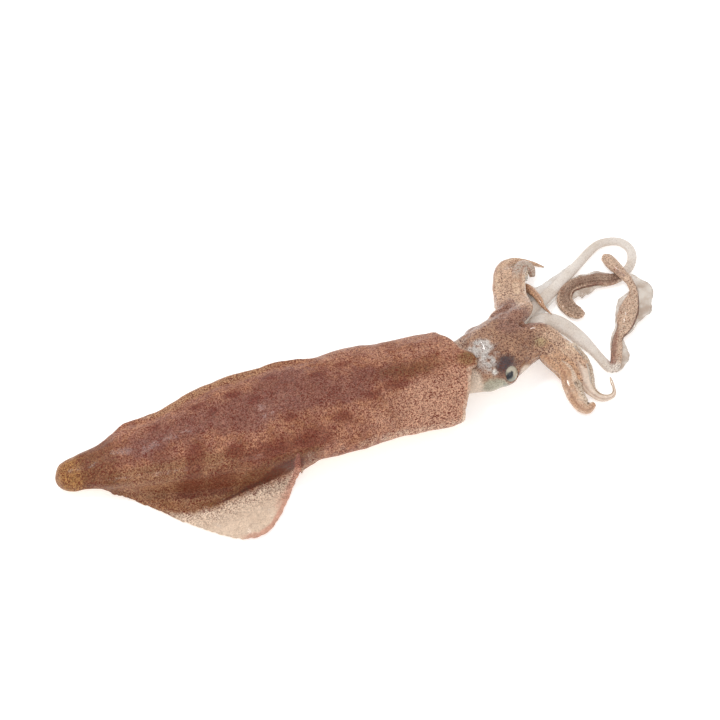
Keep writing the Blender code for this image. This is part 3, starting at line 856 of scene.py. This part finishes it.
def suckers_on(places, material):
    """Copies of the sucker. A place is its middle, the degrees it faces round the limb and its radius."""
    made = []
    for middle, degrees, radius in places:
        cup = bpy.data.objects.new("cup", SUCKER.data.copy())
        bpy.context.scene.collection.objects.link(cup)
        way = Vector((0, math.cos(math.radians(degrees)), math.sin(math.radians(degrees))))
        turn = way.to_track_quat("Z", "Y").to_matrix().to_4x4()
        cup.data.transform(Matrix.Translation(middle) @ turn @ Matrix.Scale(radius, 4))
        made.append(cup)
    cups = joined("cups", made)
    dress(cups, material)
    return cups


def ribbon(name, length, step, place, thickness, material, across=3):
    """A thin frill. place(share along it, share across it) gives each point."""
    rows = max(4, round(length / step))
    bpy.ops.object.select_all(action="DESELECT")
    bpy.ops.mesh.primitive_grid_add(x_subdivisions=rows, y_subdivisions=across, size=2)
    piece = bpy.context.object
    piece.name = name
    grid = points_of(piece)
    set_points(piece, np.array([place((p[0] + 1) / 2, (p[1] + 1) / 2) for p in grid]))
    finish_with(piece, "SOLIDIFY", thickness=thickness, offset=0)
    dress(piece, material)
    return piece


def frilled(at, wave, middle, broad, fine):
    """A frill's uneven width at one place: the middle width with broad and fine waves on it."""
    return (middle + broad * noise.noise(Vector((at, wave, 0)))
            + fine * noise.noise(Vector((3 * at, wave, 0))))


def make_arm(name, seed):
    """One arm: keeled back, two rows of suckers between two soft webs on its oral side."""
    oral, width, height, _, bare, sizes = ARMS[name]
    line = arm_line(name)
    length = length_of(line)
    own = random.Random(seed)

    def skin(share, degrees, out=0):
        """A point on the arm's skin, or out from it."""
        turn = math.radians(degrees)
        off = abs(turned_from(oral, degrees))
        push = 0.25 * hump(off, 180, 20) - 0.3 * hump(off, 0, 38) - 0.16 * hump(off, 105, 16)
        size = along(sizes, share)
        return Vector((length * share, (width + push + out) * math.cos(turn) * size,
                       (height + push + out) * math.sin(turn) * size))

    arm, shares, degrees = straight_tube(name, length, 20, 0.9, skin)
    off = np.abs(turned_from(oral, degrees))
    dress(
        arm, ARM_SKIN,
        oral=1 - smooth(off, 35, 70),
        base=1 - limb_share(shares * length - ROOT_BEHIND),
        ridge=hump(off, 180, 16) + hump(off, 100, 12),
        end=smooth(shares, 0.55, 0.85) * (name == "arm_left_1"),
        rust=np.full(len(off), float(name in (RUSTY_ARM, "arm_left_3"))),
        faded=smooth(shares, 0.4, 0.62) * FADED_ARMS.get(name, 0),
    )
    places = []
    share, row = (bare + ROOT_BEHIND) / length, 1
    while share < 0.96:
        facing = oral + row * ARM_ROW_TURN
        radius = (0.24 + 0.03 * own.random()) * width * along(sizes, share)
        places.append((skin(share, facing, -SUCKER_SINK), facing, radius))
        share += 0.95 * radius / length * (1 + 0.1 * own.random())
        row = -row
    parts = [arm, suckers_on(places, SUCKER_FLESH)]
    start = (bare + ROOT_BEHIND + (3 if sizes is TAPERED else 0)) / length
    end = 0.66 if sizes is not TAPERED else 0.97
    for edge in (-1, 1):
        wave = own.random() * 50

        def place(share, across, edge=edge, wave=wave):
            frill = frilled(length * share / 4.5, wave, 0.7, 0.7, 0.25)
            out = -0.4 + 1.4 * across * max(0.1, frill)
            return skin(start + share * (end - start), oral + edge * (50 - 8 * across), out)

        parts.append(ribbon("web", length, 0.8, place, 0.22, WEB))
    arm = joined(name, parts)
    bent_along(arm, line, lambda share: height * along(sizes, share) + LIMB_LIFT)
    crumple(arm, 4, 0.35, seed)
    keep_above(arm)
    settle(arm, f"{name}_flesh", "arm_skin", name)


def make_tentacle(name, seed):
    """A flat pale stalk and a club: brown, with four rows of suckers and a soft frill on each side."""
    oral, club, frills, marks = TENTACLES[name]
    side = 1 if "left" in name else -1
    line = line_of(name, TENTACLE_ROUTES, crown_point(side, TENTACLE_ROOT_OUT, 0))
    length = length_of(line)
    own = random.Random(seed)

    def size(share):
        return along(TENTACLE_SIZES[name], share) * (1 - 0.85 * float(smooth(share, 0.985, 1)))

    def skin(share, degrees, out=0):
        turn = math.radians(degrees)
        off = abs(turned_from(oral, degrees))
        in_club = float(smooth(share, club - 0.04, club + 0.06))
        push = in_club * (0.3 * hump(off, 180, 24) - 0.2 * hump(off, 0, 40))
        push -= (1 - in_club) * 0.25 * hump(off, 180, 30)
        push += in_club * 0.25 * noise.noise(Vector((share * length / 2.5, degrees / 40, seed)))
        wide = TENTACLE_HALF_WIDTH * size(share) + push + out
        high = (TENTACLE_HALF_HEIGHT + push) * size(share) + out
        return Vector((length * share, wide * math.cos(turn), high * math.sin(turn)))

    tentacle, shares, turned = straight_tube(name, length, 18, 0.8, skin)
    lines, dark = np.zeros(len(shares)), np.zeros(len(shares))
    for low, high, degrees, spread, strength in marks:
        stretch = smooth(shares, low - 0.03, low + 0.02) * (1 - smooth(shares, high - 0.02, high + 0.03))
        drawn = lines if spread < 20 else dark
        drawn += strength * hump(turned_from(degrees, turned), 0, spread) * stretch
    dress(
        tentacle, TENTACLE_FLESH,
        club=smooth(shares, club - 0.04, club + 0.06),
        stalk=0.86 * (1 - smooth(shares, club - 0.08, club + 0.02)),
        ridge=lines,
        dark=dark,
    )
    places = []
    share, row = club, 0
    while share < 0.985:
        lean, bigger = CLUB_ROWS[row]
        radius = (0.19 + 0.03 * own.random()) * TENTACLE_HALF_WIDTH * size(share) * bigger
        places.append((skin(share, oral + lean, -SUCKER_SINK), oral + lean, radius))
        share += 0.55 * radius / length
        row = (row + 1) % len(CLUB_ROWS)
    parts = [tentacle, suckers_on(places, CLUB_SUCKER_FLESH)]
    for degrees, widths in frills:
        wave = own.random() * 50
        low, high = widths[0][0], widths[-1][0]

        def place(share, across, degrees=degrees, widths=widths, wave=wave, low=low, high=high):
            here = low + share * (high - low)
            at = here * length / 4
            width = along(widths, here) * frilled(at, wave, 1, 0.25, 0.1)
            flutter = 1.1 * across * noise.noise(Vector((at * 1.3, wave + 9, 0)))
            return skin(here, degrees, -0.5 + across * (0.5 + width)) + Vector((0, 0, flutter))

        parts.append(ribbon("frill", length * (high - low), 0.6, place, 0.2,
                            WEB if high > club else MEMBRANE, 6))
    tentacle = joined(name, parts)
    bent_along(tentacle, line, lambda share: TENTACLE_HALF_HEIGHT * size(share) + LIMB_LIFT)
    settle(tentacle, f"{name}_flesh", "tentacle_flesh", name)


# ---- head ----

# The head's spots of colour, one of them a painted highlight: for each its strength, middle and reach
HEAD_SPOTS = {
    "silver": ((1.5, (187.4, -9.6, 10.6), (4.4, 3.4, 4.4)), (1.2, (191.4, -10.6, 11), (2.2, 2.4, 3))),
    "nape": ((1.3, (186, 5, 18.6), (4.4, 3.6, 6)), (0.5, (184.5, 2, 17), (8.5, 7.5, 8)),
             (0.6, (188.6, -2.4, 16), (4, 4.2, 6))),
    "brow": ((0.86, (193.2, -5.2, 16.8), (4, 3.8, 4.4)), (0.6, (196.4, -3.2, 17.2), (3.8, 3, 4))),
    # A painted highlight: a small white spot on top of the swollen skin behind the right eye
    "gleam": ((0.9, (189.2, -6.4, 16.2), (1.5, 1.5, 2)),),
    "membrane": ((1, (203, -5.6, 11), (3.4, 2, 3)),),
    "olive": ((1, (211.8, 2.4, 15.7), (3.4, 2.6, 3)),),
}
BAND_STEPS = 32
EYE_OPENING = (27, 37)      # degrees from the slit's middle to the opening's inner and outer edge


def eye_place(name):
    side, out, height = EYES[name]
    return EYE_MIDDLE + side * out * heading(EYE_TURN + 90) + Vector((0, 0, height))


def gaze(name):
    """The way that an eye looks: outwards, the right one also up, because the head is rolled."""
    side = EYES[name][0]
    up = 0.98 if side < 0 else 0.05
    return (side * heading(EYE_TURN + 90) + Vector((0, 0, up))).normalized()


def slit(name):
    """The way that the opening in the skin faces: a little ahead of the gaze."""
    return (gaze(name) + 0.3 * heading(EYE_TURN)).normalized()


def blobs(points, spots):
    """Soft round spots in space, each 1 times its strength at its middle."""
    return sum(strength * np.exp(-(((points - middle) / reach) ** 2).sum(axis=1))
               for strength, middle, reach in spots)


def ball(middle, across, up, turn=0, rings=6):
    """A ball, across wide and up high, for clay that is then fused."""
    bpy.ops.object.select_all(action="DESELECT")
    bpy.ops.mesh.primitive_uv_sphere_add(
        segments=2 * rings, ring_count=rings, radius=1, location=middle, scale=(*across, up),
        rotation=(0, 0, math.radians(turn)),
    )
    bake_place()
    return bpy.context.object


def open_eyes(head):
    """Draws the skin in before each eye and raises a soft rim round the opening."""
    points = points_of(head)
    for name in EYES:
        away = points - np.array(eye_place(name))
        far = np.linalg.norm(away, axis=1)
        degrees = np.degrees(np.arccos(np.clip(away @ np.array(slit(name)) / np.maximum(far, 1e-6), -1, 1)))
        near = 1 - smooth(far, EYE_RADIUS + 1.2, EYE_RADIUS + 4)
        dent = (1 - smooth(degrees, *EYE_OPENING)) * 1.9 - 0.2 * hump(degrees, 42, 8)
        points -= away / far[:, None] * (dent * near)[:, None]
    set_points(head, points)


def dress_head(head):
    """The head's skin with its masks."""
    points = points_of(head)
    x, y, _ = points.T
    spots = {name: blobs(points, placed) for name, placed in HEAD_SPOTS.items()}
    silver = np.minimum(1, spots["silver"])
    nape = np.clip(0.8 + 0.9 * waves(points, 2.6, 12), 0, 1) * np.minimum(1, spots["nape"])
    out, rust = out_from_crown(points)
    neck = 1 - smooth(x, 178, 187)
    throat = 0.9 * neck * (1 - smooth(y, -7, 0))
    bare = 0.9 * (normals_of(head)[:, 2] < -0.3) + throat + spots["membrane"]
    dress(
        head, HEAD_SKIN,
        nape=nape,
        brow=spots["brow"],
        silver=silver,
        # painted highlight: a small white spot painted into the skin's colour
        gleam=spots["gleam"],
        dusk=smooth(y, 4, 12) * smooth(x, 192, 200) * (1 - smooth(out, 5, 15)),
        pale=bare + 0.45 * neck,
        limb=limb_share(out),
        rust=rust * smooth(out, 5, 12),
        olive=spots["olive"],
        clear=bare + 0.7 * silver + 0.5 * nape + 0.2 * limb_share(out),
    )


def make_head():
    """Neck, head, crown and the arms' bases in one skin, which leaves the front of each eye open."""
    parts = [clay("head")]
    for name in EYES:
        wide = EYE_RADIUS + 0.5
        parts.append(ball(eye_place(name), (wide, 0.88 * wide), wide, EYE_TURN, 18))
    parts.append(ball(BULGE, (BULGE_RADIUS, BULGE_RADIUS), BULGE_HALF_HEIGHT, rings=14))
    for name, (_, width, height, reach, _, sizes) in ARMS.items():
        line = arm_line(name)
        for i, middle in enumerate(line[:reach + round(ROOT_BEHIND)]):
            size = along(sizes, i / len(line))
            spare = 0.7 - 1.2 * i / (reach + ROOT_BEHIND)
            wide, tall = width * size + spare, height * size + spare
            middle.z = max(middle.z, tall)
            parts.append(ball(middle, (wide, wide), tall))
    for first, first_reach, second, second_reach in BANDS:
        joins = (arm_line(first), first_reach), (arm_line(second), second_reach)
        for i in range(BAND_STEPS + 1):
            a, b = (line[round(ROOT_BEHIND + reach * i / BAND_STEPS)] for line, reach in joins)
            middle = (a + b) / 2
            wide = 0.3 * (a - b).length + 1 - 0.8 * i / BAND_STEPS
            tall = 2.6 - 0.8 * i / BAND_STEPS
            middle.z = max(middle.z, tall)
            parts.append(ball(middle, (wide, wide), tall))
    head = joined("head", parts)
    fuse(head, HEAD_VOXEL, 7)
    crumple(head, 9, 0.7, 2)
    crumple(head, 3, 0.25, 4)
    open_eyes(head)
    keep_above(head)
    dress_head(head)
    settle(head, "head_flesh", "head_skin", "head")


def make_eye(name):
    """An eyeball with its iris and pupil towards its gaze."""
    way = gaze(name)
    bpy.ops.object.select_all(action="DESELECT")
    bpy.ops.mesh.primitive_uv_sphere_add(segments=48, ring_count=32, radius=EYE_RADIUS - 0.25)
    eye = bpy.context.object
    eye.name = name
    points = points_of(eye)
    shown = np.degrees(np.arctan2(np.hypot(points[:, 0], points[:, 1]), points[:, 2]))
    points *= (1 + 0.05 * hump(shown, 0, 24))[:, None]
    turn = np.array(way.to_track_quat("Z", "Y").to_matrix())
    axis = np.array(PUPIL_AXIS) @ turn
    long = points[:, :2] @ axis[:2] / np.hypot(*axis[:2])
    short = points[:, :2] @ np.array((-axis[1], axis[0])) / np.hypot(*axis[:2])
    pupil = np.hypot((long + 0.4) / PUPIL_HALF_LENGTH, (short - 0.08 * long**2) / PUPIL_HALF_WIDTH)
    ahead = points @ turn.T @ np.array(IRIS_WAY) / EYE_RADIUS
    dress(
        eye, EYEBALL,
        pupil=(1 - smooth(pupil, 0.85, 1.1)) * (points[:, 2] > 0),
        iris=(1 - smooth(shown, 40, 52)) * smooth(ahead, 0, 0.25),
    )
    set_points(eye, points)
    eye.rotation_mode = "QUATERNION"
    eye.rotation_quaternion = way.to_track_quat("Z", "Y")
    eye.location = eye_place(name)
    alone(eye)
    bake_place()
    settle(eye, f"{name}_ball", "eyeball", name)


def make_funnel():
    """The flattened spout under the neck."""
    funnel = clay("funnel")
    fuse(funnel, FUNNEL_VOXEL, 4)
    crumple(funnel, 5, 0.4, 6)
    keep_above(funnel)
    dress(funnel, FUNNEL_FLESH)
    settle(funnel, "funnel_flesh", "funnel_flesh", "funnel")


# ---- stage ----

# For each light: its place, size and power
LIGHTS = {"key_light": ((-0.5, 0.5, 1.3), 0.3, 5.5), "fill_light": ((0.8, -0.9, 1), 0.9, 1.5)}
CAMERA_AZIMUTH, CAMERA_ELEVATION = -15.6, 62
CAMERA_TARGET = Vector((138.5, 22.6, 0))
CAMERA_LENS = 180
SEEN_WIDTH = 0.3068         # metres that the camera sees across at its target


def make_stage():
    bpy.ops.mesh.primitive_plane_add(size=6)
    floor = bpy.context.object
    floor.name = "floor"
    material, tree, surface, _ = new_material("floor")
    feed(tree, surface, {
        "Base Color": (0.98, 0.98, 0.98, 1), "Roughness": 0.9, "Specular IOR Level": 0.1,
        "Emission Color": (1, 1, 1, 1), "Emission Strength": 0.35,
    })
    dress(floor, material)
    world = bpy.data.worlds.new("studio")
    world.use_nodes = True
    feed(world.node_tree, world.node_tree.nodes["Background"], {"Color": (1, 1, 1, 1), "Strength": 0.8})
    scene = bpy.context.scene
    scene.world = world
    for name, (place, size, power) in LIGHTS.items():
        bpy.ops.object.light_add(type="AREA", location=place)
        light = bpy.context.object
        light.name = name
        light.data.size = size
        light.data.energy = power
        light.rotation_euler = (-Vector(place)).to_track_quat("-Z", "Y").to_euler()
    elevation = math.radians(CAMERA_ELEVATION)
    back = heading(CAMERA_AZIMUTH - 90) * math.cos(elevation) + Vector((0, 0, math.sin(elevation)))
    bpy.ops.object.camera_add()
    camera = bpy.context.object
    camera.data.lens = CAMERA_LENS
    camera.data.clip_end = 20
    away = SEEN_WIDTH * CAMERA_LENS / camera.data.sensor_width
    camera.location = (CAMERA_TARGET + ORIGIN) * MM + back * away
    camera.rotation_euler = (-back).to_track_quat("-Z", "Y").to_euler()
    scene.camera = camera
    scene.view_settings.view_transform = "Standard"


BODY_SKIN = flesh_material(
    "mantle_skin", ((188, 134, 104), (150, 98, 68), (148, 98, 88), 0.5),
    ((104, 34, 16), 0.8, 0.5, 0.00056, 0.72),
    (("front", (204, 158, 132), 0.7, 0.012), ("cool", (122, 78, 70), 0.7, 0.006),
     ("tan", (184, 142, 106), 0.7, 0.008), ("flank", (154, 114, 80), 0.7, 0.006),
     ("olive", (164, 118, 66), 0.85, 0.005), ("tongue", (140, 106, 68), 0.85, 0.003),
     ("maroon", (104, 42, 30), 0.62, 0.0013), ("dark", (116, 76, 46), 0.8, 0.004),
     ("pale", (226, 200, 176), 1, 0.0035),
     # The first zone below is a painted shadow line along the fin's root, under the mantle's flank
     ("fold", (84, 44, 28), 0.85, 0.003), ("pink", (200, 128, 106), 0.6, 0.003)),
    "thin",
)
HEAD_SKIN = flesh_material(
    "head_skin", ((176, 134, 104), (140, 98, 72), (140, 102, 84), 0.5),
    ((92, 40, 18), 0.92, 0, 0.00066, 0.66),
    (("dusk", (142, 100, 84), 0.7, 0.004), ("limb", (204, 168, 140), 0.9, 0.004),
     ("rust", (196, 150, 114), 0.75, 0.004), ("olive", (178, 152, 112), 0.8, 0.003),
     ("silver", (172, 168, 146), 0.9, 0.004), ("nape", (200, 194, 188), 0.88, 0.0016),
     ("pale", (220, 200, 180), 0.9, 0.005), ("brow", (52, 38, 46), 0.92, 0.0022),
     # The last zone is a painted highlight, a white spot in the skin's colour
     ("gleam", (226, 224, 216), 0.8, 0.002)),
    "clear", coat=0.8,
)
ARM_SKIN = flesh_material(
    "arm_skin", ((220, 188, 158), (194, 156, 126), (198, 168, 144), 0.5),
    ((134, 70, 38), 0.66, 0, 0.0006, 0.6),
    (("base", (168, 128, 102), 0.85, 0.004), ("rust", (196, 150, 114), 0.7, 0.004),
     ("faded", (232, 212, 194), 0.9, 0.004), ("end", (180, 164, 150), 0.85, 0.003),
     ("oral", (224, 202, 180), 0.8, 0.003), ("ridge", (156, 110, 86), 0.55, 0.002)),
    "faded", coat=0.8,
)
TENTACLE_FLESH = flesh_material(
    "tentacle_flesh", ((232, 222, 212), (214, 200, 186), (226, 216, 208), 0.4),
    ((124, 68, 42), 0.75, 0, 0.0006, 0.58),
    (("club", (198, 166, 140), 0.9, 0.002), ("dark", (142, 98, 82), 0.8, 0.0025),
     ("ridge", (92, 50, 38), 0.9, 0.0012)),
    "stalk", coat=0.5,
)
SUCKER_FLESH = flesh_material(
    "sucker_flesh", ((226, 208, 188), (196, 168, 142), (212, 192, 172), 0.4),
    ((130, 84, 62), 0.2, 0, 0.0008, 0.7),
)
FUNNEL_FLESH = flesh_material(
    "funnel_flesh", ((222, 206, 184), (200, 176, 150), (208, 190, 172), 0.4),
    ((120, 74, 56), 0.3, 0.2, 0.001, 0.7),
)
CLUB_SUCKER_FLESH = flesh_material(
    "club_sucker_flesh", ((196, 168, 146), (150, 116, 98), (178, 150, 132), 0.4),
    ((98, 58, 42), 0.4, 0, 0.0006, 0.7),
)
WEB = web_material("web", (188, 166, 148), (226, 216, 204), 0.75, 0.5)
MEMBRANE = web_material("membrane", (226, 216, 206), (240, 236, 232), 0.85, 0.65)
EYEBALL = eye_material()
SUCKER = make_sucker()

make_body()
make_head()
for eye in EYES:
    make_eye(eye)
make_funnel()
for count, arm in enumerate(ARMS):
    make_arm(arm, 11 + count)
make_tentacle("tentacle_right", 31)
make_tentacle("tentacle_left", 32)
bpy.data.objects.remove(SUCKER)
make_stage()
